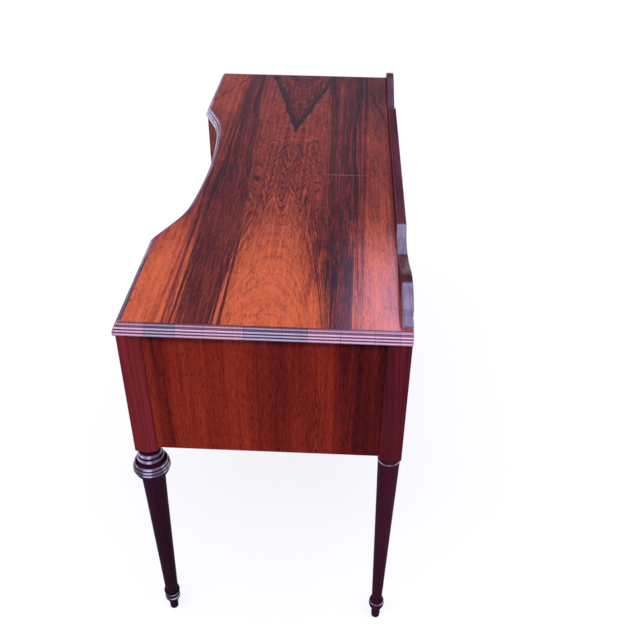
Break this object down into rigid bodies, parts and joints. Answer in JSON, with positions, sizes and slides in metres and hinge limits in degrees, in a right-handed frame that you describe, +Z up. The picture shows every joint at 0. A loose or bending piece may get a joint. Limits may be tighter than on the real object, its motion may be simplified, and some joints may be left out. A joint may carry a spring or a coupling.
{
  "type": "kneehole writing desk",
  "caption": "Writing desk on turned legs with a shaped back gallery, a reeded top edge, drawer pedestals and a kneehole drawer behind a bowed recess.",
  "frame": {"origin": "on the floor, below the middle of the desk's overall length and depth", "axes": "+X towards the sitter's right along the length, +Y from the drawer fronts to the back, +Z up"},
  "size_m": [1.2242, 0.49, 0.797],
  "materials": {
    "top_veneer": "figured rosewood veneer, French polished to a high gloss",
    "edge_veneer": "cross-grain rosewood veneer, French polished",
    "gallery_rosewood": "solid rosewood, French polished",
    "panel_veneer": "upright-grained rosewood veneer, French polished",
    "drawer_veneer": "rosewood veneer, French polished",
    "turned_rosewood": "solid turned rosewood, French polished",
    "drawer_lining": "plain mahogany lining, waxed",
    "carcass_wood": "unpolished pine",
    "brass": "turned brass, lacquered, slightly tarnished"
  },
  "bodies": {
    "desk": {"back_gallery": "gallery_rosewood", "back_panel_centre": "panel_veneer", "back_panel_left": "panel_veneer", "back_panel_right": "panel_veneer", "centre_bottom_rail": "turned_rosewood", "centre_runners": "carcass_wood", "centre_top_rail": "turned_rosewood", "divider_rail_left": "turned_rosewood", "divider_rail_right": "turned_rosewood", "drawer_kickers": "carcass_wood", "drawer_runners_left": "carcass_wood", "drawer_runners_right": "carcass_wood", "drawer_stops": "carcass_wood", "edge_bow": "edge_veneer", "edge_end_left": "edge_veneer", "edge_end_right": "edge_veneer", "edge_front_left": "edge_veneer", "edge_front_right": "edge_veneer", "end_panel_left": "panel_veneer", "end_panel_right": "panel_veneer", "front_leg_left": "turned_rosewood", "front_leg_right": "turned_rosewood", "glue_blocks": "carcass_wood", "pedestal_bottom_left": "carcass_wood", "pedestal_bottom_right": "carcass_wood", "pedestal_side_left": "panel_veneer", "pedestal_side_right": "panel_veneer", "rear_leg_left": "turned_rosewood", "rear_leg_right": "turned_rosewood", "top_panel": "top_veneer", "top_rail_left": "turned_rosewood", "top_rail_right": "turned_rosewood"},
    "upper_right_drawer": {"drawer_back_upper_right": "drawer_lining", "drawer_bottom_upper_right": "drawer_lining", "drawer_front_upper_right": "drawer_veneer", "drawer_knob_upper_right": "brass", "drawer_lock_upper_right": "brass", "drawer_sides_upper_right": "drawer_lining"},
    "lower_right_drawer": {"drawer_back_lower_right": "drawer_lining", "drawer_bottom_lower_right": "drawer_lining", "drawer_front_lower_right": "drawer_veneer", "drawer_knob_lower_right": "brass", "drawer_sides_lower_right": "drawer_lining"},
    "upper_left_drawer": {"drawer_back_upper_left": "drawer_lining", "drawer_bottom_upper_left": "drawer_lining", "drawer_front_upper_left": "drawer_veneer", "drawer_knob_upper_left": "brass", "drawer_lock_upper_left": "brass", "drawer_sides_upper_left": "drawer_lining"},
    "lower_left_drawer": {"drawer_back_lower_left": "drawer_lining", "drawer_bottom_lower_left": "drawer_lining", "drawer_front_lower_left": "drawer_veneer", "drawer_knob_lower_left": "brass", "drawer_sides_lower_left": "drawer_lining"},
    "centre_drawer": {"drawer_back_centre": "drawer_lining", "drawer_bottom_centre": "drawer_lining", "drawer_front_centre": "drawer_veneer", "drawer_knobs_centre": "brass", "drawer_lock_centre": "brass", "drawer_sides_centre": "drawer_lining"}
  },
  "joints": [
    {"name": "upper_right_drawer_slide", "type": "slide", "parent": "desk", "child": "upper_right_drawer", "axis": [0, -1, 0], "range_m": [0, 0.3]},
    {"name": "lower_right_drawer_slide", "type": "slide", "parent": "desk", "child": "lower_right_drawer", "axis": [0, -1, 0], "range_m": [0, 0.3]},
    {"name": "upper_left_drawer_slide", "type": "slide", "parent": "desk", "child": "upper_left_drawer", "axis": [0, -1, 0], "range_m": [0, 0.3]},
    {"name": "lower_left_drawer_slide", "type": "slide", "parent": "desk", "child": "lower_left_drawer", "axis": [0, -1, 0], "range_m": [0, 0.3]},
    {"name": "centre_drawer_slide", "type": "slide", "parent": "desk", "child": "centre_drawer", "axis": [0, -1, 0], "range_m": [0, 0.3]}
  ]
}
